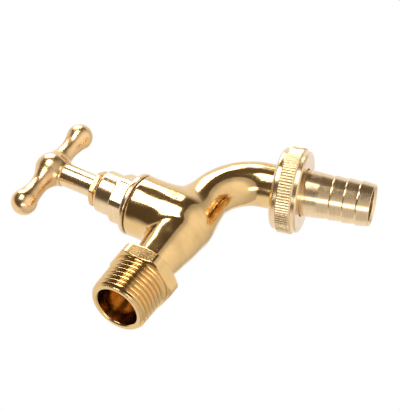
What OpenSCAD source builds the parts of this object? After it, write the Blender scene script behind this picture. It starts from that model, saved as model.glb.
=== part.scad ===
// Garden bib tap, screw-down pattern, with a swan-neck spout and a screwed hose union.
// The inlet axis is X, the spindle axis is parallel to Z, and XZ is the plane of symmetry.
// The origin lies on the inlet axis, in the wall-side face of the inlet hexagon.
// Screw threads are plain cylinders: at full diameter on the inlet, at pitch diameter inside.

/* [Inlet] */
// Outside diameter of the inlet thread (G 1/2)
inlet_thread_d = 20.955; // [16:0.005:27]
// Length of the inlet thread, hexagon to end face
inlet_thread_l = 14.2; // [9:0.1:20]
// Bore of the inlet
inlet_bore_d = 15.2; // [10:0.1:17]
// Bevel at the start of the inlet thread
inlet_bevel = 1.3; // [0.3:0.1:2]
// Inlet hexagon across flats
inlet_hex_af = 22; // [18:0.5:30]
// Thickness of the inlet hexagon
inlet_hex_t = 5; // [3:0.1:10]

/* [Body] */
// Inlet hexagon face to spindle axis
reach_stem = 29.4; // [25:0.1:40]
// Spindle axis to the point where the inlet and outlet axes cross
reach_outlet = 26.3; // [24:0.1:40]
// Outside diameter of the valve barrel
barrel_d = 21.8; // [20:0.1:30]
// Height of the barrel mouth above the inlet axis
barrel_h = 18.4; // [15:0.1:30]
// Diameter of the neck behind the inlet hexagon
neck_d = 13.2; // [11:0.1:18]
// Diameter of the belly under the valve seat
belly_d = 20; // [18:0.1:28]
// Outside diameter of the spout
spout_d = 15.5; // [13:0.1:20]
// Metal thickness of the spout and neck
cast_wall = 1.9; // [1.4:0.1:2.6]
// Radius of the spout bend, on its centre line
bend_r = 18; // [14:0.5:24]
// Angle of the outlet axis forward of straight down
outlet_tilt = 14.6; // [0:0.1:30]
// Fillet between the barrel and the spout
front_fillet = 6; // [2:0.5:8]
// Fillet between the barrel and the neck
rear_fillet = 3.5; // [1:0.5:6]
// Thickness of the rib in the crotch of neck and barrel
web_t = 1.2; // [0.8:0.1:3]

/* [Valve seat] */
// Bore of the seat
seat_bore_d = 8.8; // [6:0.1:9.6]
// Width of the raised seat ring
seat_land = 1.5; // [0.8:0.1:2]
// Height of the seat face above the inlet axis
seat_h = 3.4; // [2:0.1:5]
// Depth of the trough round the seat ring
seat_trough = 1.2; // [0.6:0.1:2]
// Bore of the valve chamber
chamber_d = 16.6; // [14:0.1:18]
// Diameter of the duct that feeds the seat from below
duct_d = 8; // [6:0.1:8.6]
// Slope of the duct down towards the seat
duct_slope = 9.5; // [4:0.5:14]

/* [Bonnet] */
// Pitch diameter of the bonnet thread
bonnet_thread_d = 17.3; // [15:0.1:18.5]
// Depth of the bonnet thread in the barrel
bonnet_thread_l = 7.4; // [5:0.1:9]
// Diameter of the bonnet collar
collar_d = 22; // [20:0.1:30]
// Height of the bonnet collar
collar_h = 2.3; // [1:0.1:4]
// Bonnet hexagon across flats
bonnet_hex_af = 16.4; // [15:0.1:24]
// Diameter the bonnet hexagon is turned down to
bonnet_turned_d = 17.9; // [16:0.1:26]
// Height of the bonnet hexagon
bonnet_hex_h = 5.5; // [4:0.1:10]
// Diameter of the bonnet's upper cylinder
bonnet_top_d = 15; // [14:0.1:20]
// Height of the bonnet's upper cylinder
bonnet_top_h = 6.6; // [5:0.1:12]
// Thickness of the fibre washer under the bonnet
gasket_t = 0.5; // [0.3:0.1:1.5]

/* [Gland] */
// Gland screw hexagon across flats
gland_hex_af = 11.5; // [11:0.1:16]
// Thickness of the gland screw hexagon
gland_hex_t = 1.8; // [1.2:0.1:4]
// Slit between the bonnet and the gland screw hexagon
gland_slit = 0.9; // [0.4:0.1:2]
// Pitch diameter of the gland thread
gland_thread_d = 10.7; // [10:0.1:12]
// Length of the gland thread in the bonnet
gland_thread_l = 3.2; // [2:0.1:4]
// Height of one packing ring
packing_h = 1.2; // [0.8:0.1:2]

/* [Spindle] */
// Diameter of the polished spindle
spindle_d = 8.05; // [6:0.05:9]
// Height of the spindle shoulder under the handle, above the inlet axis
spindle_top = 48.9; // [45:0.1:70]
// Pitch diameter of the spindle thread
spindle_thread_d = 9.2; // [8.6:0.1:10]
// Height the valve rises when fully open
valve_lift = 5; // [3:0.1:5]
// Diameter of the tenon pressed into the handle
tenon_d = 6; // [4:0.1:7]
// Length of the tenon
tenon_l = 6.2; // [4:0.1:8]

/* [Jumper valve] */
// Diameter of the jumper plate
jumper_d = 12; // [11:0.1:12.6]
// Thickness of the jumper plate
jumper_t = 2; // [1.5:0.1:3]
// Diameter of the jumper stem inside the spindle
jumper_stem_d = 4; // [3:0.1:5]
// Length of the jumper stem above its plate
jumper_stem_l = 8; // [5:0.1:10]
// Diameter of the valve washer
washer_d = 11.6; // [10.6:0.1:12]
// Thickness of the valve washer
washer_t = 3; // [2:0.1:4]
// Diameter of the stud that holds the valve washer
stud_d = 3.2; // [2:0.1:4]
// Washer nut across flats
washer_nut_af = 6; // [5:0.1:7]
// Thickness of the washer nut
washer_nut_t = 1.8; // [1:0.1:2.5]

/* [Handle] */
// Distance between the centres of the two handle balls
handle_span = 34.8; // [26:0.2:60]
// Diameter of a handle ball
ball_d = 9.2; // [7:0.1:14]
// Diameter of the handle hub
hub_d = 12; // [10:0.1:18]
// Diameter of the handle arms at their waist
waist_d = 6.4; // [5:0.1:8]
// Distance from the hub centre to the waist
waist_x = 9.6; // [8:0.1:13]
// Height of the handle bar above the spindle shoulder
handle_rise = 5.75; // [5:0.05:9]
// Diameter of the round seat under the hub
hub_seat_d = 8.7; // [8.2:0.1:12]
// Angle of the bar about the spindle when the tap is shut
handle_angle = -3.4; // [-90:0.1:90]

/* [Union nut] */
// Distance along the outlet axis from the crossing point to the back of the nut
nut_start = 18.85; // [17:0.05:30]
// Length of the nut
nut_l = 9.45; // [8:0.05:14]
// Diameter over the knurl
knurl_d = 30; // [28:0.1:40]
// Diameter of the plain ends of the nut
nut_end_d = 28.4; // [27:0.1:38]
// Width of the knurled band
knurl_w = 5.1; // [3:0.1:8]
// Plain band behind the knurl
nut_back_w = 2.4; // [1:0.1:4]
// Number of knurl teeth
knurl_teeth = 90; // [60:2:120]
// Depth of the knurl
knurl_depth = 0.35; // [0.1:0.05:0.6]
// Thickness of the nut's inner lip
lip_t = 1.5; // [1:0.1:3]
// Pitch diameter of the union thread (G 3/4)
union_thread_d = 25.28; // [22:0.01:26]

/* [Hose tail] */
// Distance along the outlet axis from the crossing point to the end of the tail
tail_end = 52.1; // [45:0.1:80]
// Diameter of the tail beside the nut
tail_root_d = 16.2; // [12:0.1:20]
// Diameter over a barb
barb_d = 15.6; // [12:0.1:20]
// Diameter at the small end of a barb
barb_small_d = 14.7; // [11:0.1:19]
// Pitch of the barbs
barb_pitch = 4.65; // [3:0.05:8]
// Number of barbs
barb_count = 3; // [1:1:5]
// Bore of the tail
tail_bore_d = 12.6; // [8:0.1:13]
// Thickness of the tail flange
flange_t = 1.6; // [1:0.1:3]
// Thickness of the hose seal
seal_t = 1.4; // [1:0.1:3]

/* [Clearances] */
// Radial clearance of a turning or screwed fit
fit_gap = 0.05; // [0.02:0.01:0.1]
// Gap between faces that press together when shut
face_gap = 0.05; // [0.02:0.01:0.2]

/* [Hidden] */
$fn = 96;
eps = 0.01;
brass = "#d9a441";
brass_pale = "#e3bd74";

// Heights on the spindle axis
collar_z = barrel_h + gasket_t;
bonnet_hex_z = collar_z + collar_h;
bonnet_top_z = bonnet_hex_z + bonnet_hex_h;
bonnet_end_z = bonnet_top_z + bonnet_top_h;
gland_z = bonnet_end_z + gland_slit;
gland_end_z = gland_z + gland_hex_t;
packing_z = bonnet_end_z - gland_thread_l - 2 * packing_h - 2 * face_gap;
bonnet_foot_z = barrel_h - bonnet_thread_l;
washer_z = seat_h + face_gap;
jumper_z = washer_z + washer_t;
spindle_z = jumper_z + jumper_t + face_gap;
spindle_thread_end = packing_z - valve_lift - 0.2;
guide_z = bonnet_foot_z + valve_lift + 2;
handle_z = spindle_top + handle_rise;

// Radii that follow the wall
spout_r = spout_d / 2;
spout_bore_r = spout_r - cast_wall;
neck_bore_r = neck_d / 2 - cast_wall + 0.4;
neck_bore_end = reach_stem - chamber_d / 2 - 5;
duct_r = duct_d / 2;
duct_z = cast_wall - belly_d / 2 + duct_r - 0.2;
duct_l = reach_stem - neck_bore_end + 2;

// Places along the outlet axis
lip_z = nut_start + nut_l - lip_t;
flange_z = lip_z - face_gap - flange_t;
boss_end = flange_z - seal_t;
boss_start = nut_start + 0.15;
bend_angle = 90 - outlet_tilt;
bend_tangent = bend_r * tan(bend_angle / 2);
bend_x = reach_stem + reach_outlet - bend_tangent;
tail_r = tail_root_d / 2;
barb_start = tail_end - barb_count * barb_pitch;

// Moves children so that their Z axis is the outlet axis, pointing out of the tap
module on_outlet_axis() {
    translate([reach_stem + reach_outlet, 0, 0]) rotate([0, 180 - outlet_tilt, 0]) children();
}

module on_stem() {
    translate([reach_stem, 0, 0]) children();
}

// Turns a profile drawn as [radius, distance] about the X axis, distance along +X
module about_x() {
    rotate([0, 90, 0]) rotate_extrude() children();
}

module ring(outer_r, inner_r, h) {
    difference() {
        cylinder(r = outer_r, h = h);
        translate([0, 0, -1]) cylinder(r = inner_r, h = h + 2);
    }
}

// Hexagon bar whose corners are bevelled at the ends named by low and high
module bevelled_hex(af, h, turned_d, bevel, low, high) {
    r = turned_d / 2;
    intersection() {
        rotate(30) cylinder(d = af / cos(30), h = h, $fn = 6);
        rotate_extrude() polygon([[0, 0], [r - (low ? 2 * bevel : 0), 0], [r, low ? bevel : 0],
            [r, h - (high ? bevel : 0)], [r - (high ? 2 * bevel : 0), h], [0, h]]);
    }
}

// Rolling-ball fillet in the corner of an upright barrel and a level tube that runs along +X.
// The ball's radius falls off towards the sides, where barrel and tube flow together.
function unit(v) = v / norm(v);
function ball_r(r, a) = r * (0.12 + 0.88 * pow(cos(a * 0.92), 2));
function fillet_ring(ra, rb, r, a, steps, sink) =
    let (rr = ball_r(r, a),
        y = (rb + rr) * sin(a),
        z = (rb + rr) * cos(a),
        x = sqrt(pow(ra + rr, 2) - y * y),
        c = [x, y, z],
        on_barrel = [x * ra / (ra + rr), y * ra / (ra + rr), z],
        on_tube = [x, rb * sin(a), rb * cos(a)],
        u = unit(on_barrel - c),
        v = unit(on_tube - c),
        corner = on_barrel + on_tube - c)
    concat([for (i = [0 : steps]) c + (rr + sink) * unit(u * (1 - i / steps) + v * i / steps)],
        [corner + 1.5 * unit(corner - c)]);

module corner_fillet(ra, rb, r, sink) {
    steps = 8;
    rings = 20;
    n = steps + 2;
    span = 92;
    points = [for (k = [0 : rings]) each
        fillet_ring(ra, rb, r, span * (2 * k / rings - 1), steps, sink)];
    sides = [for (k = [0 : rings - 1]) for (i = [0 : n - 1])
        let (a = k * n + i, b = k * n + (i + 1) % n)
        each [[a, b + n, b], [a, a + n, b + n]]];
    first = [[for (i = [0 : n - 1]) i]];
    last = [[for (i = [n - 1 : -1 : 0]) rings * n + i]];
    polyhedron(points, concat(sides, first, last), convexity = 6);
}

// Points along an arc about [x, y], from angle a to angle b in the given number of steps
function arc(x, y, r, a, b, steps) =
    [for (i = [0 : steps]) let (t = a + (b - a) * i / steps) [x + r * cos(t), y + r * sin(t)]];

// Level part of the casting, turned about X: one long arc from the neck to the belly,
// then a bulging arc and a hollow one down to the spout
module level_shell() {
    neck_r = neck_d / 2;
    belly_r = belly_d / 2;
    start = inlet_hex_t - 1;
    widest = reach_stem - 1;
    rise = widest - start;
    swell_r = (rise * rise + pow(belly_r - neck_r, 2)) / (2 * (belly_r - neck_r));
    swell_a = asin(rise / swell_r);
    fall = bend_x - widest;
    drop = belly_r - spout_r;
    ease_r = (fall * fall + drop * drop) / (4 * drop);
    ease_a = asin(fall / 2 / ease_r);
    about_x() polygon(concat([[0, start]],
        arc(belly_r - swell_r, widest, swell_r, -swell_a, 0, 12),
        arc(belly_r - ease_r, widest, ease_r, 0, ease_a, 6),
        arc(spout_r + ease_r, bend_x, ease_r, 180 + ease_a, 180, 6),
        [[0, bend_x]]));
}

module at_bend_centre() {
    translate([bend_x, 0, -bend_r]) rotate([90, 0, 0]) rotate([0, 0, 90 - bend_angle]) children();
}

module spout_bend(r) {
    at_bend_centre() rotate_extrude(angle = bend_angle) translate([bend_r, 0]) circle(r = r);
}

// Turns a profile drawn as [radius, distance along the outlet axis] onto the end of the bend
module straight_end() {
    at_bend_centre() translate([bend_r, 0, 0]) rotate([90, 0, 0])
        translate([0, 0, -bend_tangent]) rotate_extrude() children();
}

// Upright valve barrel, with a round foot that sinks into the belly
module barrel() {
    r = barrel_d / 2;
    foot_z = 1.5;
    on_stem() rotate_extrude() polygon(concat(arc(0, foot_z, r, -90, 0, 14),
        [[r, barrel_h - 0.4], [r - 0.4, barrel_h], [0, barrel_h]]));
}

module inlet_end() {
    about_x() polygon([[0, -inlet_thread_l],
        [inlet_thread_d / 2 - inlet_bevel, -inlet_thread_l],
        [inlet_thread_d / 2, inlet_bevel - inlet_thread_l],
        [inlet_thread_d / 2, 0.5], [0, 0.5]]);
    rotate([0, 90, 0]) rotate(30) bevelled_hex(inlet_hex_af, inlet_hex_t,
        inlet_hex_af / cos(30) - 1, 0.6, true, true);
}

// Straight end of the spout with the boss that carries the union thread
module union_boss() {
    r = union_thread_d / 2;
    bevel = 0.6;
    straight_end() polygon([[0, bend_tangent], [spout_r, bend_tangent], [spout_r, boss_start],
        [r - bevel, boss_start], [r, boss_start + bevel], [r, boss_end - bevel], [r - bevel, boss_end], [0, boss_end]]);
}

// Cast rib that ties the barrel to the neck, in the plane of symmetry
module crotch_web() {
    web_low = inlet_hex_t - 1;
    web_high = reach_stem - barrel_d / 2 + 1;
    translate([0, web_t / 2, 0]) rotate([90, 0, 0]) linear_extrude(web_t)
        polygon([[web_low, 0], [web_low, neck_d / 2 + 1.6], [web_high, neck_d / 2 + 5.4],
            [web_high + 3, 0]]);
}

// The inlet bore, stepped down to the neck inside the hexagon
module inlet_bore() {
    r = inlet_bore_d / 2;
    about_x() polygon([[0, -inlet_thread_l - 1], [r + 1, -inlet_thread_l - 1],
        [r + 1, -inlet_thread_l], [r, 0.4 - inlet_thread_l], [r, inlet_hex_t - 4.5],
        [neck_bore_r, inlet_hex_t - 1], [neck_bore_r, neck_bore_end], [0, neck_bore_end]]);
}

// The duct that dips from the neck to a round end below the seat
module seat_duct() {
    on_stem() translate([0, 0, duct_z]) rotate([0, duct_slope - 90, 0]) rotate_extrude()
        polygon(concat(arc(0, 0, duct_r, -90, 0, 10), [[duct_r, duct_l], [0, duct_l]]));
}

// Seat bore, trough round the seat ring, valve chamber and bonnet thread, from the duct up
module valve_chamber() {
    seat_r = seat_bore_d / 2;
    chamber_r = chamber_d / 2;
    thread_r = bonnet_thread_d / 2 + fit_gap;
    trough_z = seat_h - seat_trough;
    on_stem() rotate_extrude() polygon([[0, duct_z], [seat_r, duct_z], [seat_r, seat_h],
        [seat_r + seat_land, seat_h], [seat_r + seat_land, trough_z], [chamber_r, trough_z],
        [chamber_r, bonnet_foot_z - 1], [thread_r, bonnet_foot_z - 1],
        [thread_r, barrel_h + 1], [0, barrel_h + 1]]);
}

// The passage in front of the seat, the bend and the outlet, which flares at its mouth
module spout_bore() {
    wall_x = reach_stem + seat_bore_d / 2 + cast_wall;
    r = spout_bore_r;
    translate([bend_x, 0, 0]) rotate([0, -90, 0]) cylinder(r = r, h = bend_x - wall_x);
    spout_bend(r);
    straight_end() polygon([[0, bend_tangent], [r, bend_tangent], [r, boss_end - 1.5],
        [r + 1.6, boss_end], [r + 1.6, boss_end + 1], [0, boss_end + 1]]);
}

module waterway() {
    inlet_bore();
    seat_duct();
    valve_chamber();
    spout_bore();
}

module body() {
    color(brass) difference() {
        union() {
            inlet_end();
            level_shell();
            barrel();
            on_stem() corner_fillet(barrel_d / 2, spout_r + 0.35, front_fillet, 0.5);
            on_stem() rotate(180) corner_fillet(barrel_d / 2, belly_d / 2 - 0.75, rear_fillet, 0.3);
            crotch_web();
            spout_bend(spout_r);
            union_boss();
        }
        waterway();
    }
}

module bonnet() {
    turned_r = bonnet_turned_d / 2;
    round_r = (collar_d - bonnet_turned_d) / 2;
    color(brass_pale) on_stem() difference() {
        union() {
            // Thread spigot
            translate([0, 0, bonnet_foot_z]) cylinder(d = bonnet_thread_d, h = bonnet_thread_l + gasket_t + 1);
            // Collar with a rounded shoulder
            translate([0, 0, collar_z]) rotate_extrude() {
                square([collar_d / 2, max(0.4, collar_h - round_r)]);
                square([turned_r, collar_h]);
                intersection() {
                    translate([turned_r - eps, collar_h - round_r]) square([round_r + eps, round_r]);
                    translate([turned_r, collar_h - round_r]) circle(r = round_r);
                }
            }
            translate([0, 0, bonnet_hex_z - eps])
                bevelled_hex(bonnet_hex_af, bonnet_hex_h + eps, bonnet_turned_d, 0.7, false, true);
            // Upper cylinder with a rounded end
            translate([0, 0, bonnet_top_z - eps]) rotate_extrude() {
                square([bonnet_top_d / 2, bonnet_top_h - 1.2]);
                square([bonnet_top_d / 2 - 1.2, bonnet_top_h]);
                translate([bonnet_top_d / 2 - 1.2, bonnet_top_h - 1.2]) circle(r = 1.2);
            }
        }
        // Well for the jumper, then the spindle thread, then the stuffing box
        translate([0, 0, bonnet_foot_z - 1]) cylinder(d = jumper_d + 1.2, h = guide_z - bonnet_foot_z + 1);
        cylinder(d = spindle_thread_d + 2 * fit_gap, h = packing_z);
        translate([0, 0, packing_z - eps]) cylinder(d = gland_thread_d + 2 * fit_gap, h = bonnet_end_z);
    }
}

module bonnet_gasket() {
    color("#7d4a35") on_stem() translate([0, 0, barrel_h])
        ring(collar_d / 2 - 0.6, bonnet_thread_d / 2 + fit_gap, gasket_t);
}

module gland_screw() {
    color(brass) on_stem() difference() {
        union() {
            translate([0, 0, bonnet_end_z - gland_thread_l])
                cylinder(d = gland_thread_d, h = gland_thread_l + gland_slit + 0.5);
            translate([0, 0, gland_z])
                bevelled_hex(gland_hex_af, gland_hex_t, gland_hex_af / cos(30) - 0.3, 0.3, false, true);
        }
        cylinder(d = spindle_d + 2 * fit_gap, h = gland_end_z + 1);
    }
}

module packing_ring(z) {
    color("#e8e4d8") on_stem() translate([0, 0, z])
        ring(gland_thread_d / 2, spindle_d / 2 + fit_gap, packing_h);
}

module packing_ring_lower() {
    packing_ring(packing_z + face_gap);
}

module packing_ring_upper() {
    packing_ring(packing_z + face_gap + packing_h);
}

module spindle() {
    color(brass_pale) on_stem() difference() {
        union() {
            translate([0, 0, spindle_z]) cylinder(d = spindle_d, h = spindle_top - spindle_z);
            translate([0, 0, guide_z - 4]) cylinder(d = spindle_thread_d, h = spindle_thread_end - guide_z + 4);
            translate([0, 0, spindle_top - eps]) cylinder(d = tenon_d, h = tenon_l);
        }
        translate([0, 0, spindle_z - 1]) cylinder(d = jumper_stem_d + 2 * fit_gap, h = jumper_stem_l + 2);
    }
}

// Profile of the whole handle bar as [radius, distance]: ball, hollow arm, hub, arm, ball
module bar_profile() {
    hub_r = hub_d / 2;
    ball_r = ball_d / 2;
    waist_r = waist_d / 2;
    half = handle_span / 2;
    inner_r = (waist_x * waist_x / (hub_r - waist_r) - hub_r - waist_r) / 2;
    outer_r = (pow(half - waist_x, 2) / (ball_r - waist_r) - ball_r - waist_r) / 2;
    inner_a = asin(waist_x / (inner_r + hub_r));
    outer_a = asin((half - waist_x) / (outer_r + ball_r));
    upper = concat(arc(0, 0, hub_r, 0, inner_a, 8),
        arc(waist_r + inner_r, waist_x, inner_r, 180 + inner_a, 180, 8),
        arc(waist_r + outer_r, waist_x, outer_r, 180, 180 - outer_a, 6),
        arc(0, half, ball_r, -outer_a, 90, 18));
    lower = [for (i = [len(upper) - 1 : -1 : 0]) [upper[i][0], -upper[i][1]]];
    polygon(concat(lower, upper));
}

module t_handle() {
    color(brass_pale) on_stem() rotate(handle_angle) difference() {
        union() {
            translate([0, 0, handle_z]) about_x() bar_profile();
            translate([0, 0, spindle_top + face_gap]) cylinder(d = hub_seat_d, h = handle_rise);
        }
        translate([0, 0, spindle_top - 1]) cylinder(d = tenon_d + 2 * fit_gap, h = tenon_l + 1.2);
    }
}

module jumper() {
    color(brass) on_stem() {
        translate([0, 0, jumper_z]) cylinder(d = jumper_d, h = jumper_t);
        translate([0, 0, jumper_z + eps]) cylinder(d = jumper_stem_d, h = jumper_t + jumper_stem_l);
        translate([0, 0, washer_z - washer_nut_t - 0.4]) cylinder(d = stud_d, h = washer_t + washer_nut_t + 1);
    }
}

module valve_washer() {
    color("#2b2b2b") on_stem() translate([0, 0, washer_z])
        ring(washer_d / 2, stud_d / 2 + fit_gap, washer_t);
}

module washer_nut() {
    color(brass) on_stem() translate([0, 0, washer_z - washer_nut_t]) difference() {
        bevelled_hex(washer_nut_af, washer_nut_t, washer_nut_af / cos(30), 0.2, true, false);
        translate([0, 0, -1]) cylinder(d = stud_d + 2 * fit_gap, h = washer_nut_t + 2);
    }
}

module knurl() {
    tooth = 360 / knurl_teeth;
    r = knurl_d / 2;
    linear_extrude(knurl_w) polygon([for (i = [0 : knurl_teeth - 1])
        for (p = [[-0.5, knurl_depth], [-0.22, 0], [0.22, 0]])
            (r - p[1]) * [cos((i + p[0]) * tooth), sin((i + p[0]) * tooth)]]);
}

module union_nut() {
    end_r = nut_end_d / 2;
    color(brass_pale) on_outlet_axis() translate([0, 0, nut_start]) difference() {
        union() {
            rotate_extrude() polygon([[0, 0], [end_r - 0.9, 0], [end_r, 0.9],
                [end_r, nut_l - 0.4], [end_r - 0.4, nut_l], [0, nut_l]]);
            translate([0, 0, nut_back_w]) knurl();
        }
        translate([0, 0, -1]) cylinder(d = union_thread_d + 2 * fit_gap, h = nut_l - lip_t + 1);
        cylinder(r = tail_r + 0.35, h = nut_l + 1);
    }
}

module hose_seal() {
    color("#1f1f1f") on_outlet_axis() translate([0, 0, boss_end])
        ring(union_thread_d / 2 - 0.6, tail_bore_d / 2 + 0.5, seal_t);
}

module hose_tail() {
    root_end = barb_start - barb_pitch;
    small_r = barb_small_d / 2;
    mid_r = (tail_r + barb_d / 2) / 2;
    color(brass_pale) on_outlet_axis() difference() {
        union() {
            translate([0, 0, flange_z]) cylinder(r = union_thread_d / 2 - 0.6, h = flange_t);
            rotate_extrude() polygon(concat(
                [[0, flange_z + flange_t / 2], [tail_r, flange_z + flange_t / 2], [tail_r, lip_z + lip_t + 2],
                    [mid_r, root_end], [small_r, barb_start - 0.2]],
                [for (i = [0 : barb_count - 1]) each [
                    [barb_d / 2, barb_start + i * barb_pitch],
                    [barb_d / 2, barb_start + i * barb_pitch + 0.5],
                    [small_r, barb_start + (i + 1) * barb_pitch - (i < barb_count - 1 ? 0.2 : 0)]]],
                [[0, tail_end]]));
        }
        translate([0, 0, flange_z - 1]) cylinder(d = tail_bore_d, h = tail_end);
        // Mouth eased on the inside, which leaves a thin rim
        translate([0, 0, tail_end - 0.8]) cylinder(d1 = tail_bore_d, d2 = tail_bore_d + 1.2, h = 0.8 + eps);
    }
}

body();
bonnet();
bonnet_gasket();
gland_screw();
packing_ring_lower();
packing_ring_upper();
spindle();
t_handle();
jumper();
valve_washer();
washer_nut();
union_nut();
hose_seal();
hose_tail();
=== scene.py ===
"""Garden bib tap with a hose union: the visible pieces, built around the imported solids.

Sizes inside the shape functions are in millimetres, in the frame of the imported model:
X along the inlet, Z along the spindle, origin in the wall-side face of the inlet hexagon.
"""

import math

import bpy
import numpy as np
from bpy.props import FloatProperty, FloatVectorProperty, IntProperty, PointerProperty
from mathutils import Matrix, Vector


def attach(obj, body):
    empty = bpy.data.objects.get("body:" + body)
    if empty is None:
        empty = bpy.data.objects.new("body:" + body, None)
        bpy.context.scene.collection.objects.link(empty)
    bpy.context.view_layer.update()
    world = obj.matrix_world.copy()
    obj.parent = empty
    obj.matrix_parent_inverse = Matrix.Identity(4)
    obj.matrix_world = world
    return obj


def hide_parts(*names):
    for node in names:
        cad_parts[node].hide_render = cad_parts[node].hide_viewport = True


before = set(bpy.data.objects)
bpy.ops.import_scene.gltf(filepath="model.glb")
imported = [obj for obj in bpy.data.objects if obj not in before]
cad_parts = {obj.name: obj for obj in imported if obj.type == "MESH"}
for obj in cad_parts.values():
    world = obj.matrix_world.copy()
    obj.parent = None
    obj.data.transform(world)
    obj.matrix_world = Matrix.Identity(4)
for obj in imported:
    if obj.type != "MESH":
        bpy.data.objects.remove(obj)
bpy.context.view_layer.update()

bl_info = {
    "name": "Garden bib tap",
    "version": (1, 0, 0),
    "blender": (4, 5, 0),
    "location": "3D View > Sidebar > Tap",
    "description": "Builds a brass garden tap with a knurled hose union around its packed solids",
    "category": "Add Mesh",
}

MM = 0.001
X, Y, Z = np.eye(3)
REACH_STEM = 29.4
CROSSING = 55.7
OUTLET_TILT = math.radians(14.6)
BEND_R = 18.0
BEND_ANGLE = math.pi / 2 - OUTLET_TILT
BEND_TANGENT = BEND_R * math.tan(BEND_ANGLE / 2)
BEND_X = CROSSING - BEND_TANGENT
OUTLET = np.array([math.sin(OUTLET_TILT), 0.0, -math.cos(OUTLET_TILT)])
ABOUT_INLET = (np.zeros(3), X, Y)
ABOUT_STEM = (REACH_STEM * X, Z, X)
ABOUT_OUTLET = (CROSSING * X, OUTLET, Y)


def millimetres(name, value, text):
    """A length property, shown in Blender's units, from a size in millimetres."""
    return FloatProperty(name=name, description=text, default=value * MM, min=0.0,
                         subtype="DISTANCE", unit="LENGTH", precision=5)


def colour(name, value, text):
    """A colour property."""
    return FloatVectorProperty(name=name, description=text, default=value, size=3,
                               min=0.0, max=1.0, subtype="COLOR")


class TapSizes(bpy.types.PropertyGroup):
    """Sizes of the visible pieces."""

    barrel: millimetres("Barrel diameter", 21.8, "Outside diameter of the valve barrel")
    barrel_top: millimetres("Barrel mouth", 18.4, "Height of the barrel mouth above the inlet")
    thread: millimetres("Thread diameter", 20.955, "Outside diameter of the inlet thread")
    pitch: millimetres("Thread pitch", 1.814, "Pitch of the inlet thread")
    thread_depth: millimetres("Thread depth", 1.05, "Depth of the inlet thread")
    inlet_flats: millimetres("Inlet hexagon", 22.0, "Inlet hexagon across flats")
    bonnet_flats: millimetres("Bonnet hexagon", 16.4, "Bonnet hexagon across flats")
    gland_flats: millimetres("Gland hexagon", 11.5, "Gland screw across flats")
    spindle: millimetres("Spindle diameter", 8.04, "Diameter of the polished spindle")
    knurl: millimetres("Knurl diameter", 30.0, "Diameter over the nut's knurl")
    knurl_depth: millimetres("Knurl depth", 0.4, "Depth of the nut's knurl")
    knurl_teeth: IntProperty(name="Knurl teeth", description="Number of teeth round the nut",
                             default=90, min=20, max=160)
    cell: millimetres("Casting cell", 0.42, "Size of the mesh cells on cast surfaces")


class TapFinishes(bpy.types.PropertyGroup):
    """Colours and gloss of the metal and the seals."""

    cast: colour("Cast brass", (0.83, 0.56, 0.25), "Polished casting")
    cast_dull: colour("Cast brass, dull", (0.62, 0.40, 0.17), "Darker patches of the casting")
    turned: colour("Turned brass", (0.90, 0.68, 0.42), "Turned pieces")
    turned_dull: colour("Turned brass, dull", (0.74, 0.52, 0.28), "Darker rings of turned pieces")
    handle: colour("Handle brass", (0.86, 0.58, 0.29), "Satin casting of the handle")
    handle_dull: colour("Handle brass, dull", (0.62, 0.38, 0.17), "Streaks on the handle")
    gland: colour("Gland brass", (0.78, 0.50, 0.22), "Gland screw and its slit")
    rubber: colour("Rubber", (0.03, 0.03, 0.03), "Valve washer and hose seal")
    fibre: colour("Fibre", (0.16, 0.07, 0.04), "Washer under the bonnet")
    packing: colour("Packing", (0.78, 0.76, 0.70), "Packing rings")
    cast_gloss: FloatProperty(name="Casting roughness", description="Roughness of the casting",
                              default=0.13, min=0.0, max=1.0, subtype="FACTOR")
    turned_gloss: FloatProperty(name="Turned roughness", description="Roughness of turned pieces",
                                default=0.22, min=0.0, max=1.0, subtype="FACTOR")


class TapStage(bpy.types.PropertyGroup):
    """Camera, light and floor."""

    camera: FloatVectorProperty(name="Camera place", description="Where the camera stands",
                                default=(-0.3650, -0.4835, -0.2585), size=3,
                                subtype="TRANSLATION", unit="LENGTH")
    lens: FloatProperty(name="Lens", description="Focal length on a 36 mm wide sensor",
                        default=179.65, min=10.0, unit="CAMERA")
    floor_height: FloatProperty(name="Floor height", description="Height of the floor",
                                default=-0.62, subtype="DISTANCE", unit="LENGTH")
    light: FloatProperty(name="Light", description="Strength of the soft lamps",
                         default=1.0, min=0.0)


# ---- meshes ----


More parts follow.
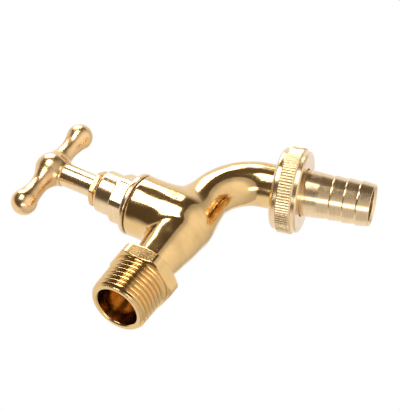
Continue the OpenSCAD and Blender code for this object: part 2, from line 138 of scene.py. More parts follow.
def build_mesh(name, points, faces, uv=None):
    """A smooth closed mesh from points in mm and rows of four corners.

    A row whose first two or last two corners are one point becomes a triangle, points that no
    face uses are dropped, and all faces are turned round if the enclosed volume is negative.
    """
    p = points[faces]
    first = np.einsum("ij,ij->i", p[:, 0], np.cross(p[:, 1], p[:, 2]))
    second = np.einsum("ij,ij->i", p[:, 0], np.cross(p[:, 2], p[:, 3]))
    if (first + second).sum() < 0:
        faces = faces[:, ::-1]
        uv = None if uv is None else uv[:, ::-1]
    start, end = faces[:, 0] == faces[:, 1], faces[:, 2] == faces[:, 3]
    whole = ~start & ~end
    groups = [(whole, [0, 1, 2, 3]), (start, [1, 2, 3]), (end, [0, 1, 2])]
    loops = np.concatenate([faces[mask][:, keep].ravel() for mask, keep in groups])
    sizes = np.concatenate([np.full(mask.sum(), len(keep)) for mask, keep in groups])
    used, loops = np.unique(loops, return_inverse=True)
    mesh = bpy.data.meshes.new(name)
    mesh.vertices.add(len(used))
    mesh.vertices.foreach_set("co", (points[used] * MM).astype(np.float32).ravel())
    mesh.loops.add(len(loops))
    mesh.loops.foreach_set("vertex_index", loops.astype(np.int32).ravel())
    mesh.polygons.add(len(sizes))
    begins = np.concatenate([[0], np.cumsum(sizes)[:-1]])
    mesh.polygons.foreach_set("loop_start", begins.astype(np.int32))
    mesh.update(calc_edges=True)
    mesh.polygons.foreach_set("use_smooth", np.ones(len(sizes), bool))
    if uv is not None:
        flat = np.concatenate([uv[mask][:, keep].reshape(-1, 2) for mask, keep in groups])
        mesh.uv_layers.new(name="surface").data.foreach_set("uv", flat.astype(np.float32).ravel())
    mesh.validate()
    obj = bpy.data.objects.new(name, mesh)
    bpy.context.scene.collection.objects.link(obj)
    return obj


def outline(corners, closed=False, step=0.7):
    """Profile points [radius, distance] from corners [radius, distance, ease].

    An eased corner is the quadratic curve between the points that lie ease before and after
    it. Each straight is cut into steps, with a very short one at both ends, so that a smooth
    shaded flat stays flat up to its edge.
    """
    corners = np.array(corners, float)
    place, ease = corners[:, :2], corners[:, 2]
    count = len(place)
    t = np.linspace(0, 1, 7)[:, None]
    parts = []
    for i in range(count):
        if ease[i] == 0 or (not closed and i in (0, count - 1)):
            parts.append(place[i:i + 1])
            continue
        ends = []
        for other in (place[i - 1], place[(i + 1) % count]):
            away = other - place[i]
            length = np.linalg.norm(away)
            ends.append(place[i] + away / length * min(ease[i], 0.45 * length))
        parts.append((1 - t) ** 2 * ends[0] + 2 * t * (1 - t) * place[i] + t ** 2 * ends[1])
    line = [parts[0]]
    following = parts[1:] + ([parts[0]] if closed else [])
    for here, there in zip(parts, following):
        gap = there[0] - here[-1]
        length = np.linalg.norm(gap)
        if length > 0.12:
            pieces = max(1, math.ceil((length - 0.08) / step))
            share = (0.04 + (length - 0.08) * np.linspace(0, 1, pieces + 1)) / length
            line.append(here[-1] + share[:, None] * gap)
        line.append(there)
    if closed:
        line.pop()
    return np.concatenate(line)


def turned(name, points, place, sides=160, closed=False, relief=None):
    """Surface of revolution: origin + distance * axis + radius * (cos a * u + sin a * v).

    relief(a, distance, radius) may give another radius at each angle a. The UV map holds the
    angle as a share of a turn, and the length along the profile in millimetres.
    """
    origin, axis, u = place
    v = np.cross(axis, u)
    count = len(points)
    angle = np.linspace(0, 2 * math.pi, sides, endpoint=False)[:, None]
    distance = np.broadcast_to(points[:, 1], (sides, count))
    radius = np.broadcast_to(points[:, 0], (sides, count))
    if relief is not None:
        radius = relief(angle, distance, radius)
    around = np.cos(angle)[..., None] * u + np.sin(angle)[..., None] * v
    grid = origin + distance[..., None] * axis + radius[..., None] * around
    index = np.arange(sides * count).reshape(sides, count)
    length = np.concatenate([[0], np.cumsum(np.linalg.norm(np.diff(points, axis=0), axis=1))])
    if closed:
        columns, after = np.arange(count), (np.arange(count) + 1) % count
        length = np.append(length, length[-1] + np.linalg.norm(points[0] - points[-1]))
    else:
        columns, after = np.arange(count - 1), np.arange(1, count)
        for end in (0, count - 1):
            if points[end, 0] == 0:
                index[:, end] = index[0, end]
    beside = np.roll(index, -1, 0)
    faces = np.stack([index[:, columns], beside[:, columns], beside[:, after], index[:, after]], -1)
    turn = np.broadcast_to(np.arange(sides)[:, None] / sides, (sides, len(columns)))
    low, high = (np.broadcast_to(length[columns + k], turn.shape) for k in (0, 1))
    more = turn + 1 / sides
    uv = np.stack([np.stack([turn, low], -1), np.stack([more, low], -1),
                   np.stack([more, high], -1), np.stack([turn, high], -1)], 2)
    return build_mesh(name, grid.reshape(-1, 3), faces.reshape(-1, 4), uv.reshape(-1, 4, 2))


def slope(field, p):
    """The field's value at points p and its gradient by central differences."""
    h = 0.02
    gradient = np.stack([(field(*(p + h * e).T) - field(*(p - h * e).T)) / (2 * h)
                         for e in (X, Y, Z)], -1)
    return field(*p.T), gradient


def skin(name, field, low, high, cell):
    """Closed surface where field(x, y, z) is zero.

    One point stands in each grid cell that the surface crosses, moved onto the surface along
    the field's gradient, and one face lies across each grid edge that the surface crosses.
    """
    axes = [np.arange(a, b + cell, cell) for a, b in zip(low, high)]
    inside = field(*np.meshgrid(*axes, indexing="ij")) < 0
    size = np.array(inside.shape) - 1
    corners = sum(inside[i:size[0] + i, j:size[1] + j, k:size[2] + k].astype(np.int8)
                  for i in (0, 1) for j in (0, 1) for k in (0, 1))
    crossed = (corners > 0) & (corners < 8)
    number = np.zeros(crossed.shape, int)
    number[crossed] = np.arange(crossed.sum())
    cells = np.argwhere(crossed)
    points = np.stack([axes[d][cells[:, d]] for d in range(3)], -1) + cell / 2
    for _ in range(7):
        value, gradient = slope(field, points)
        move = value[:, None] * gradient / np.maximum((gradient ** 2).sum(1), 0.05)[:, None]
        points = points - np.clip(move, -cell, cell)
    faces = []
    for d, u, v in ((0, 1, 2), (1, 2, 0), (2, 0, 1)):
        solid = np.moveaxis(inside, (d, u, v), (0, 1, 2))
        label = np.moveaxis(number, (d, u, v), (0, 1, 2))
        before, after = solid[:-1, 1:-1, 1:-1], solid[1:, 1:-1, 1:-1]
        i, j, k = np.nonzero(before != after)
        ring = np.stack([label[i, j, k], label[i, j + 1, k],
                         label[i, j + 1, k + 1], label[i, j, k + 1]], -1)
        out = before[i, j, k]
        faces.append(np.where(out[:, None], ring, ring[:, ::-1]))
    return build_mesh(name, points, np.concatenate(faces))


def soft_min(a, b, k):
    """The smaller of a and b, eased by a cubic where they differ by less than k."""
    h = np.maximum(k - np.abs(a - b), 0) / k
    return np.minimum(a, b) - h ** 3 * k / 6


def ramp(value, low, high):
    """0 below low, 1 above high, and a smooth S between."""
    t = np.clip((value - low) / (high - low), 0, 1)
    return t * t * (3 - 2 * t)


def spline(x, knots, values):
    """Natural cubic curve through the knots: its second derivatives solve one linear system."""
    knots, values = np.array(knots, float), np.array(values, float)
    h = np.diff(knots)
    n = len(knots)
    system, right = np.eye(n), np.zeros(n)
    rows = np.arange(1, n - 1)
    system[rows, rows - 1], system[rows, rows + 1] = h[:-1], h[1:]
    system[rows, rows] = 2 * (h[:-1] + h[1:])
    right[rows] = 6 * (np.diff(values)[1:] / h[1:] - np.diff(values)[:-1] / h[:-1])
    second = np.linalg.solve(system, right)
    x = np.clip(x, knots[0], knots[-1])
    i = np.clip(np.searchsorted(knots, x) - 1, 0, n - 2)
    a, b = (knots[i + 1] - x) / h[i], (x - knots[i]) / h[i]
    return (a * values[i] + b * values[i + 1]
            + ((a ** 3 - a) * second[i] + (b ** 3 - b) * second[i + 1]) * h[i] ** 2 / 6)


def hexagon(flats, low, high, inner):
    """Relief that cuts flats: radius = flats / 2 / cos(angle from the nearest flat's middle)."""
    def relief(angle, distance, radius):
        turn = np.mod(angle + math.pi / 6, math.pi / 3) - math.pi / 6
        cut = soft_min(radius, flats / 2 / np.cos(turn), 0.3)
        band = (distance > low) & (distance < high) & (radius > inner)
        return np.where(band, cut, radius)
    return relief


# ---- finishes ----


class Finish:
    """A procedural material in the making, with short ways to add and join nodes."""

    def __init__(self, name, roughness, metallic):
        self.material = bpy.data.materials.new(name)
        self.material.use_nodes = True
        self.tree = self.material.node_tree
        self.shader = self.tree.nodes["Principled BSDF"]
        self.shader.inputs["Metallic"].default_value = metallic
        self.shader.inputs["Roughness"].default_value = roughness

    def add(self, kind, values=None, **settings):
        node = self.tree.nodes.new(kind)
        for key, value in settings.items():
            setattr(node, key, value)
        for key, value in (values or {}).items():
            if isinstance(value, bpy.types.NodeSocket):
                self.tree.links.new(value, node.inputs[key])
            else:
                node.inputs[key].default_value = value
        return node

    def noise(self, scale, detail=3.0, where=None, stretch=None):
        """Noise on object coordinates, scale in features per metre."""
        vector = where or self.add("ShaderNodeTexCoord").outputs["Object"]
        if stretch:
            vector = self.add("ShaderNodeMapping", {"Vector": vector, "Scale": stretch})
            vector = vector.outputs["Vector"]
        values = {"Vector": vector, "Scale": scale, "Detail": detail}
        return self.add("ShaderNodeTexNoise", values).outputs["Fac"]

    def span(self, value, low, high, out_low, out_high):
        """value from low..high carried to out_low..out_high, clamped."""
        values = {"Value": value, "From Min": low, "From Max": high,
                  "To Min": out_low, "To Max": out_high}
        return self.add("ShaderNodeMapRange", values).outputs["Result"]

    def sum(self, *terms):
        """Sum of (value, factor) pairs."""
        total = None
        for value, factor in terms:
            scaled = self.add("ShaderNodeMath", {0: value, 1: factor}, operation="MULTIPLY")
            total = scaled.outputs[0] if total is None else self.add(
                "ShaderNodeMath", {0: total, 1: scaled.outputs[0]}, operation="ADD").outputs[0]
        return total

    def colours(self, share, first, second):
        mix = self.add("ShaderNodeMix", {"Factor": share}, data_type="RGBA")
        mix.inputs["A"].default_value = (*first, 1)
        mix.inputs["B"].default_value = (*second, 1)
        mix.inputs[6].default_value = (*first, 1)
        mix.inputs[7].default_value = (*second, 1)
        self.tree.links.new(mix.outputs[2], self.shader.inputs["Base Color"])

    def roughness(self, value):
        self.tree.links.new(value, self.shader.inputs["Roughness"])

    def bump(self, height, distance, strength=1.0):
        node = self.add("ShaderNodeBump", {"Height": height, "Strength": strength,
                                           "Distance": distance})
        self.tree.links.new(node.outputs["Normal"], self.shader.inputs["Normal"])


def cast_finish(name, clean, dull, rough, wave, grain):
    """Tumbled and polished casting: slow waves, fine grain and pits, dull patches and streaks."""
    f = Finish(name, rough, 1.0)
    patches = f.noise(140, 5)
    streaks = f.noise(420, 4, stretch=(1.0, 0.25, 0.25))
    tone = f.sum((f.span(patches, 0.45, 0.75, 0, 1), 0.55), (f.span(streaks, 0.5, 0.8, 0, 1), 0.45))
    f.colours(tone, clean, dull)
    pits = f.span(f.noise(2300, 2), 0.70, 0.80, 0, 1)
    f.roughness(f.sum((f.span(patches, 0.3, 0.8, 0.8, 1.5), rough), (pits, 0.25)))
    f.bump(f.sum((f.noise(190, 2), wave), (f.noise(3200, 3), grain), (pits, -grain * 1.5)), 0.001)
    return f.material


def turned_finish(name, clean, dull, rough, ring, depth):
    """Turned metal: rings across the UV map's length, uneven in depth, with smooth waves."""
    f = Finish(name, rough, 1.0)
    length = f.add("ShaderNodeSeparateXYZ", {"Vector": f.add("ShaderNodeTexCoord").outputs["UV"]})
    line = f.add("ShaderNodeCombineXYZ", {"X": length.outputs["Y"]}).outputs["Vector"]
    broad = f.noise(0.9, 3, where=line)
    fine = f.noise(1 / ring, 2, where=line)
    smear = f.noise(260, 3)
    tone = f.sum((f.span(fine, 0.35, 0.75, 0, 1), 0.4), (f.span(broad, 0.4, 0.7, 0, 1), 0.3),
                 (f.span(smear, 0.45, 0.8, 0, 1), 0.3))
    f.colours(tone, clean, dull)
    f.roughness(f.span(f.sum((broad, 0.5), (smear, 0.5)), 0.3, 0.7, rough * 0.75, rough * 1.3))
    f.bump(f.sum((fine, depth), (f.noise(5000, 2), 0.002), (f.noise(170, 1), 0.02)), 0.001)
    return f.material


def soft_finish(name, clean, rough, grain):
    """Rubber, fibre or packing: a fine uneven grain in colour, gloss and height."""
    f = Finish(name, rough, 0.0)
    speck = f.noise(1800, 4)
    f.colours(f.span(speck, 0.3, 0.7, 0, 1), clean, tuple(0.6 * c for c in clean))
    f.roughness(f.span(speck, 0.3, 0.7, rough * 0.9, min(1.0, rough * 1.15)))
    f.bump(speck, grain * MM)
    return f.material


def dress(obj, material, body, slot, *nodes):
    """Gives a piece its material and body, and hides the CAD nodes that it stands for; the slot
    argument is not used.
    """
    obj.data.materials.clear()
    obj.data.materials.append(material)
    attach(obj, body)
    if nodes:
        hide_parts(*nodes)


def sizes_and_finishes(context):
    scene = context.scene
    return scene.tap_sizes, scene.tap_finishes


# ---- shapes ----


def along_spout(x, z):
    """Distance along the spout's bent centre line and offset from it, in the XZ plane.

    The line runs level, then on an arc about (BEND_X, -BEND_R), then straight along OUTLET.
    """
    dx, dz = x - BEND_X, z + BEND_R
    angle = np.arctan2(dx, dz)
    end = (BEND_X + BEND_R * math.sin(BEND_ANGLE), BEND_R * math.cos(BEND_ANGLE) - BEND_R)
    leg = (x - end[0]) * OUTLET[0] + (z - end[1]) * OUTLET[2]
    side = (x - end[0]) * math.sin(BEND_ANGLE) + (z - end[1]) * math.cos(BEND_ANGLE)
    place = np.where(angle <= 0, x, np.where(angle < BEND_ANGLE, BEND_X + BEND_R * angle,
                                             BEND_X + BEND_R * BEND_ANGLE + leg))
    offset = np.where(angle <= 0, z, np.where(angle < BEND_ANGLE, np.hypot(dx, dz) - BEND_R, side))
    return place, offset, leg


SPOUT_KNOTS = [4.2, 8, 12, 16, 20, 24, 28.4, 32, 36, 40, 43, 48, 56, 75]
SPOUT_RADII = [6.7, 7.25, 7.85, 8.35, 8.9, 9.25, 9.5, 9.35, 8.8, 8.12, 7.86, 7.76, 7.75, 7.75]


def casting_field(sizes):
    """Signed distance of the casting: a tube of changing radius along the spout's line, joined
    to the upright barrel by a fillet that is wide in front and behind and narrow at the sides,
    with a slow unevenness, less the neck's bore."""
    barrel_r, mouth = sizes.barrel / MM / 2, sizes.barrel_top / MM

    def field(x, y, z):
        place, offset, leg = along_spout(x, z)
        tube = np.hypot(offset, y) - spline(place, SPOUT_KNOTS, SPOUT_RADII)
        out = np.hypot(x - REACH_STEM, y)
        foot = 1.5
        barrel = np.hypot(out, np.minimum(z - foot, 0)) - barrel_r
        barrel = -soft_min(-barrel, mouth - z, 0.8)
        side = np.cos(0.92 * np.arctan2(np.abs(y), np.maximum(z, 0.01))) ** 2
        fillet = (3.6 + 2.8 * ramp(x - REACH_STEM, -4, 4)) * (0.1 + 0.9 * side)
        shape = soft_min(tube, barrel, 1.76 * fillet)
        shape = shape + 0.035 * np.sin(0.83 * x + 0.6) * np.cos(0.71 * y + 0.4 * z)
        shape = np.maximum(shape, np.maximum(4.4 - x, leg - (20.0 - BEND_TANGENT)))
        bore = np.maximum(np.hypot(y, z) - 5.9, x - 17.6)
        return np.maximum(shape, -bore)
    return field


def handle_field():
    """Signed distance of the handle: hub and end balls are spheres, the arms are hollow arcs
    that touch them, and a round seat flows into the hub from below."""
    hub, waist, ball = 6.0, 3.2, 4.6
    waist_x, half, height = 9.6, 17.4, 54.65
    inner = (waist_x ** 2 / (hub - waist) - hub - waist) / 2
    outer = ((half - waist_x) ** 2 / (ball - waist) - ball - waist) / 2
    inner_end = hub * waist_x / (inner + hub)
    outer_end = half - ball * (half - waist_x) / (outer + ball)
    turn = math.radians(-3.4)

    def field(x, y, z):
        u = np.abs((x - REACH_STEM) * math.cos(turn) + y * math.sin(turn))
        w = (REACH_STEM - x) * math.sin(turn) + y * math.cos(turn)
        rho = np.hypot(w, z - height)
        r = np.where(u < waist_x, inner, outer)
        arm = rho - (waist + r - np.sqrt(np.maximum(r * r - (u - waist_x) ** 2, 0.01)))
        arm = np.where((u > inner_end) & (u < outer_end), arm, 5.0)
        bar = np.minimum(np.minimum(np.hypot(u, rho) - hub, np.hypot(u - half, rho) - ball), arm)
        seat = np.maximum(np.hypot(x - REACH_STEM, y) - 4.35, z - height)
        bar = soft_min(bar, seat, 2.6) + 0.03 * np.sin(1.1 * x) * np.cos(0.9 * y + z)
        return -soft_min(-bar, z - 48.95, 0.5)
    return field


def thread_relief(sizes):
    """Relief of the inlet thread: a flank wave of (distance / pitch - turns), with flat crests,
    that runs out towards the hexagon, on a slightly tapered end."""
    pitch, depth = sizes.pitch / MM, sizes.thread_depth / MM
    full = sizes.thread / MM / 2

    def relief(angle, distance, radius):
        phase = (distance + 13.86) / pitch - angle / (2 * math.pi)
        d = 2 * np.abs(np.mod(phase + 0.5, 1) - 0.5)
        flank = np.clip((d - 0.1) / 0.8, 0, 1)
        flank = 0.6 * flank + 0.4 * flank * flank * (3 - 2 * flank)
        crest = full - 0.22 * np.clip(-distance / 14.2, 0, 1)
        cut = crest - depth * flank * ramp(-distance, 0.3, 1.5)
        outside = (radius > 9.1) & (distance < 0.1) & (distance > -13.9)
        return np.where(outside, np.minimum(radius, cut), radius)
    return relief


def knurl_relief(sizes):
    """Relief of the straight knurl: V grooves round the band, deepest between its bevels."""
    depth, teeth, full = sizes.knurl_depth / MM, sizes.knurl_teeth, sizes.knurl / MM / 2

    def relief(angle, distance, radius):
        d = 2 * np.abs(np.mod(angle * teeth / (2 * math.pi), 1) - 0.5)
        groove = np.clip((d - 0.35) / 0.6, 0, 1)
        band = ramp(distance, 21.15, 21.5) * (1 - ramp(distance, 26.1, 26.45))
        cut = np.minimum(radius, full) - depth * groove * band
        return np.where((radius > 14.3) & (band > 0), cut, radius)
    return relief


class TAP_OT_casting(bpy.types.Operator):
    """Build the casting: neck, belly, barrel, swan-neck spout and outlet boss"""

    bl_idname = "tap.casting"
    bl_label = "Casting"

    def execute(self, context):
        sizes, finish = sizes_and_finishes(context)
        metal = cast_finish("cast_brass", finish.cast, finish.cast_dull, finish.cast_gloss, 0.05, 0.003)
        body = skin("casting", casting_field(sizes), (3.5, -13, -24), (68.5, 13, 20), sizes.cell / MM)
        dress(body, metal, "tap_body", "cast_brass", "body")
        boss = turned("outlet_boss", outline([
            (5.9, 17.5, 0), (7.6, 17.5, 0.05), (8.1, 18.4, 0.5), (9.2, 19.0, 0.4), (12.0, 19.0, 0.1),
            (12.6, 19.6, 0.1), (12.6, 23.5, 0.1), (12.2, 23.73, 0.05), (5.9, 23.73, 0.1)],
            closed=True), ABOUT_OUTLET, closed=True)
        dress(boss, metal, "tap_body", "cast_brass", "body")
        return {"FINISHED"}


class TAP_OT_inlet(bpy.types.Operator):
    """Build the threaded inlet, its bore and the inlet hexagon"""

    bl_idname = "tap.inlet"
    bl_label = "Inlet"

    def execute(self, context):
        sizes, finish = sizes_and_finishes(context)
        full = sizes.thread / MM / 2
        profile = outline([
            (0, 16.6, 0), (5.1, 16.6, 0.3), (5.1, 4.0, 0.2), (7.6, 0.5, 0.3), (7.6, -13.7, 0.1),
            (8.0, -14.2, 0.35), (9.2, -14.2, 0.5), (10.25, -12.95, 0.35), (full, -12.3, 0.2),
            (full, 0.3, 0.02), (9.0, 3.9, 0.1), (5.6, 4.3, 0.1), (5.6, 17.2, 0.1), (0, 17.2, 0)],
            step=0.11)
        thread = turned("inlet_thread", profile, ABOUT_INLET, sides=216, relief=thread_relief(sizes))
        metal = turned_finish("threaded_brass", finish.cast, finish.cast_dull,
                              finish.cast_gloss * 1.1, 0.35, 0.006)
        dress(thread, metal, "tap_body", "cast_brass", "body")
        flats = sizes.inlet_flats / MM
        nut = turned("inlet_hexagon", outline([
            (8.5, 0.0, 0.05), (11.0, 0.0, 0.12), (12.2, 0.62, 0.12), (12.2, 4.38, 0.12),
            (11.0, 5.0, 0.12), (6.3, 5.0, 0.05), (6.3, 4.2, 0.05), (8.5, 4.2, 0.05)],
            closed=True, step=0.5), ABOUT_INLET, sides=288, closed=True,
            relief=hexagon(flats, -1, 6, 8.6))
        dress(nut, cast_finish("hexagon_brass", finish.cast, finish.cast_dull,
                               finish.cast_gloss * 1.1, 0.03, 0.003),
              "tap_body", "cast_brass", "body")
        return {"FINISHED"}


class TAP_OT_bonnet(bpy.types.Operator):
    """Build the bonnet and the gland screw"""

    bl_idname = "tap.bonnet"
    bl_label = "Bonnet and gland"

    def execute(self, context):
        sizes, finish = sizes_and_finishes(context)
        bonnet = turned("bonnet_head", outline([
            (5.4, 18.95, 0.05), (10.6, 18.95, 0.12), (11.0, 19.25, 0.15), (11.0, 20.5, 0.7),
            (10.1, 21.1, 0.45), (9.1, 21.2, 0.15), (8.95, 21.35, 0.05), (8.95, 26.0, 0.1),
            (8.1, 26.7, 0.15), (7.6, 26.72, 0.05), (7.5, 26.9, 0.05), (7.5, 32.5, 0.5),
            (6.9, 33.25, 0.35), (6.4, 33.3, 0.1), (5.4, 33.3, 0.08)], closed=True, step=0.4),
            ABOUT_STEM, sides=240, closed=True,
            relief=hexagon(sizes.bonnet_flats / MM, 21.25, 26.75, 7.65))
        metal = turned_finish("turned_brass", finish.turned, finish.turned_dull,
                              finish.turned_gloss, 0.3, 0.012)
        dress(bonnet, metal, "tap_body", "turned_brass", "bonnet")
        gland = turned("gland_nut", outline([
            (4.07, 30.6, 0.05), (5.3, 30.6, 0.05), (5.3, 34.2, 0.05), (6.2, 34.2, 0.1),
            (6.49, 34.4, 0.1), (6.49, 35.6, 0.12), (5.8, 36.0, 0.12), (4.3, 36.0, 0.1),
            (4.07, 35.8, 0.05)], closed=True, step=0.3), ABOUT_STEM, sides=240, closed=True,
            relief=hexagon(sizes.gland_flats / MM, 34.1, 36.1, 5.35))
        dress(gland, cast_finish("gland_brass", finish.gland, finish.cast_dull, 0.28, 0.02, 0.004),
              "tap_body", "gland_brass", "gland_screw")
        return {"FINISHED"}


class TAP_OT_handle(bpy.types.Operator):
    """Build the spindle and the cross-bar handle"""

    bl_idname = "tap.handle"
    bl_label = "Spindle and handle"

    def execute(self, context):
        sizes, finish = sizes_and_finishes(context)
        r = sizes.spindle / MM / 2
        rod = turned("spindle_rod", outline([
            (0, 24, 0), (r, 24, 0.1), (r, 49.3, 0.05), (0, 49.3, 0)]), ABOUT_STEM)
        dress(rod, turned_finish("spindle_brass", finish.turned, finish.turned_dull,
                                 finish.turned_gloss, 0.25, 0.008),
              "handle_spindle", "turned_brass", "spindle")
        bar = skin("cross_bar", handle_field(), (6.5, -8, 48), (52.3, 8, 61.5), 0.34)
        dress(bar, cast_finish("handle_brass", finish.handle, finish.handle_dull, 0.24, 0.05, 0.006),
              "handle_spindle", "handle_brass", "t_handle")
        return {"FINISHED"}


class TAP_OT_union(bpy.types.Operator):
    """Build the knurled union nut and the barbed hose tail"""

    bl_idname = "tap.union"
    bl_label = "Union nut and hose tail"

    def execute(self, context):
        sizes, finish = sizes_and_finishes(context)
        full = sizes.knurl / MM / 2
        nut = turned("knurled_nut", outline([
            (12.75, 18.95, 0.05), (13.3, 18.86, 0.08), (14.2, 19.7, 0.35), (14.2, 21.15, 0.06),
            (14.5, 21.25, 0.05), (full, 21.5, 0.1), (full, 26.1, 0.1), (14.55, 26.4, 0.05),
            (14.2, 26.45, 0.06), (14.2, 27.85, 0.15), (13.75, 28.3, 0.15), (8.6, 28.3, 0.08),
            (8.45, 28.15, 0.05), (8.45, 26.85, 0.05), (12.75, 26.8, 0.05)], closed=True, step=0.8),
            ABOUT_OUTLET, sides=8 * sizes.knurl_teeth, closed=True, relief=knurl_relief(sizes))
        dress(nut, turned_finish("nut_brass", finish.turned, finish.turned_dull,
                                 finish.turned_gloss, 0.3, 0.012), "nut", "turned_brass", "union_nut")
        barbs = []
        for start in (38.2, 42.85, 47.5):
            end_r = 7.38 if start < 47 else 7.3
            barbs += [(7.8, start, 0.07), (7.8, start + 0.4, 0.12), (end_r, start + 4.45, 0.08)]
        tail = turned("barbed_tail", outline([
            (6.3, 25.2, 0.05), (12.0, 25.2, 0.1), (12.0, 26.72, 0.1), (8.05, 26.75, 0.1),
            (8.05, 30.0, 0.4), (7.86, 34.0, 0.4), (7.42, 38.0, 0.08)] + barbs + [
            (7.22, 52.08, 0.05), (6.95, 52.08, 0.05), (6.4, 51.2, 0.1)], closed=True, step=0.6),
            ABOUT_OUTLET, sides=200, closed=True)
        dress(tail, turned_finish("tail_brass", finish.turned, finish.turned_dull,
                                  finish.turned_gloss, 0.5, 0.03), "tail", "turned_brass", "hose_tail")
        return {"FINISHED"}


class TAP_OT_inner_pieces(bpy.types.Operator):
    """Finish the seals, packing and valve pieces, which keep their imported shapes"""

    bl_idname = "tap.inner_pieces"
    bl_label = "Seals and valve"

    def execute(self, context):
        finish = context.scene.tap_finishes
        rubber = soft_finish("rubber", finish.rubber, 0.7, 0.02)
        fibre = soft_finish("fibre", finish.fibre, 0.85, 0.03)
        packing = soft_finish("packing", finish.packing, 0.8, 0.03)
        brass = cast_finish("valve_brass", finish.turned, finish.turned_dull, 0.3, 0.02, 0.003)
        given = {"bonnet_gasket": fibre, "packing_ring_lower": packing, "packing_ring_upper": packing,
                 "valve_washer": rubber, "hose_seal": rubber, "jumper": brass, "washer_nut": brass}
        for node, material in given.items():
            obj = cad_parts[node]
            obj.data.materials.clear()
            obj.data.materials.append(material)
        return {"FINISHED"}


def soft_lamp(name, place, width, height, power, tint, target=(0.035, 0, 0.005)):
    """A rectangular lamp at a place in metres, turned towards the target."""
    lamp = bpy.data.lights.new(name, "AREA")
    lamp.shape = "RECTANGLE"
    lamp.size, lamp.size_y, lamp.energy, lamp.color = width, height, power, tint
    obj = bpy.data.objects.new(name, lamp)
    obj.location = place
    obj.rotation_euler = (Vector(target) - Vector(place)).to_track_quat("-Z", "Y").to_euler()
    bpy.context.scene.collection.objects.link(obj)
    return obj


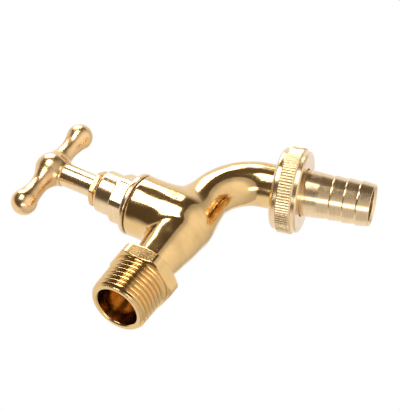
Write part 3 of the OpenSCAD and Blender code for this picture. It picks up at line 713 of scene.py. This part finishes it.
class TAP_OT_stage(bpy.types.Operator):
    """Set up the camera, the pale floor, the soft lamps and the world"""

    bl_idname = "tap.stage"
    bl_label = "Stage"

    def execute(self, context):
        stage = context.scene.tap_stage
        scene = context.scene
        scene.view_settings.view_transform = "Standard"
        data = bpy.data.cameras.new("camera")
        data.sensor_width, data.sensor_fit, data.lens = 36.0, "HORIZONTAL", stage.lens
        data.clip_start, data.clip_end = 0.01, 20
        camera = bpy.data.objects.new("camera", data)
        right, up, back = (Vector(v).normalized() for v in (
            (0.5176, 0.0253, -0.8553), (0.6161, -0.7046, 0.3520), (-0.5938, -0.7091, -0.3803)))
        turn = Matrix((right, up, back)).transposed().to_4x4()
        camera.matrix_world = Matrix.Translation(stage.camera) @ turn
        scene.collection.objects.link(camera)
        scene.camera = camera
        self.floor(stage.floor_height)
        self.world(scene)
        self.lamps(stage.light)
        return {"FINISHED"}

    def floor(self, height):
        mesh = bpy.data.meshes.new("floor")
        w = 3.0
        mesh.from_pydata([(-w, -w, height), (w, -w, height), (w, w, height), (-w, w, height)],
                         [], [(0, 1, 2, 3)])
        floor = bpy.data.objects.new("floor", mesh)
        bpy.context.scene.collection.objects.link(floor)
        paint = bpy.data.materials.new("pale_floor")
        paint.use_nodes = True
        tree = paint.node_tree
        shader = tree.nodes["Principled BSDF"]
        shader.inputs["Base Color"].default_value = (0.86, 0.86, 0.86, 1)
        shader.inputs["Roughness"].default_value = 0.9
        mesh.materials.append(paint)

    def world(self, scene):
        """White for the camera and through clear or glossy paths towards the backdrop, and a
        dim warm room on the side that the camera stands on."""
        world = bpy.data.worlds.new("studio")
        world.use_nodes = True
        scene.world = world
        tree = world.node_tree
        new = tree.nodes.new
        link = tree.links.new
        background = tree.nodes["Background"]
        path = new("ShaderNodeLightPath")
        where = new("ShaderNodeTexCoord")
        lean = new("ShaderNodeVectorMath")
        lean.operation = "DOT_PRODUCT"
        lean.inputs[1].default_value = (0.25, 0.95, 0.15)
        link(where.outputs["Generated"], lean.inputs[0])
        share = new("ShaderNodeMapRange")
        share.interpolation_type = "SMOOTHSTEP"
        share.inputs["From Min"].default_value = -0.25
        share.inputs["From Max"].default_value = 0.15
        link(lean.outputs["Value"], share.inputs["Value"])
        room = new("ShaderNodeMix")
        room.data_type = "RGBA"
        room.inputs[6].default_value = (0.10, 0.075, 0.05, 1)
        room.inputs[7].default_value = (1, 1, 1, 1)
        link(share.outputs["Result"], room.inputs[0])
        seen = new("ShaderNodeMix")
        seen.data_type = "RGBA"
        seen.inputs[7].default_value = (1, 1, 1, 1)
        link(path.outputs["Is Camera Ray"], seen.inputs[0])
        link(room.outputs[2], seen.inputs[6])
        link(seen.outputs[2], background.inputs["Color"])

    def lamps(self, strength):
        soft_lamp("lamp_over", (-0.15, -1.1, 0.35), 0.7, 0.5, 9 * strength, (1.0, 0.98, 0.95))
        soft_lamp("lamp_left", (0.75, -0.55, 0.75), 0.5, 0.7, 9 * strength, (1.0, 0.98, 0.95))
        soft_lamp("lamp_low", (-0.9, -0.35, -0.55), 0.25, 0.9, 3.5 * strength, (1.0, 0.97, 0.92))


class TAP_PT_panel(bpy.types.Panel):
    """Lists the tap's pieces and settings"""

    bl_idname = "TAP_PT_panel"
    bl_label = "Garden bib tap"
    bl_space_type = "VIEW_3D"
    bl_region_type = "UI"
    bl_category = "Tap"

    def draw(self, context):
        scene = context.scene
        for operator in OPERATORS:
            self.layout.operator(operator.bl_idname)
        for group in (scene.tap_sizes, scene.tap_finishes, scene.tap_stage):
            box = self.layout.box()
            for key in group.__annotations__:
                box.prop(group, key)


OPERATORS = (TAP_OT_casting, TAP_OT_inlet, TAP_OT_bonnet, TAP_OT_handle, TAP_OT_union,
             TAP_OT_inner_pieces, TAP_OT_stage)
GROUPS = (TapSizes, TapFinishes, TapStage)


def register():
    for cls in GROUPS + OPERATORS + (TAP_PT_panel,):
        bpy.utils.register_class(cls)
    bpy.types.Scene.tap_sizes = PointerProperty(type=TapSizes)
    bpy.types.Scene.tap_finishes = PointerProperty(type=TapFinishes)
    bpy.types.Scene.tap_stage = PointerProperty(type=TapStage)


def unregister():
    del bpy.types.Scene.tap_sizes, bpy.types.Scene.tap_finishes, bpy.types.Scene.tap_stage
    for cls in reversed(GROUPS + OPERATORS + (TAP_PT_panel,)):
        bpy.utils.unregister_class(cls)


def main():
    """Registers the classes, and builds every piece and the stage."""
    register()
    bpy.ops.tap.casting()
    bpy.ops.tap.inlet()
    bpy.ops.tap.bonnet()
    bpy.ops.tap.handle()
    bpy.ops.tap.union()
    bpy.ops.tap.inner_pieces()
    bpy.ops.tap.stage()


if __name__ == "__main__":
    main()
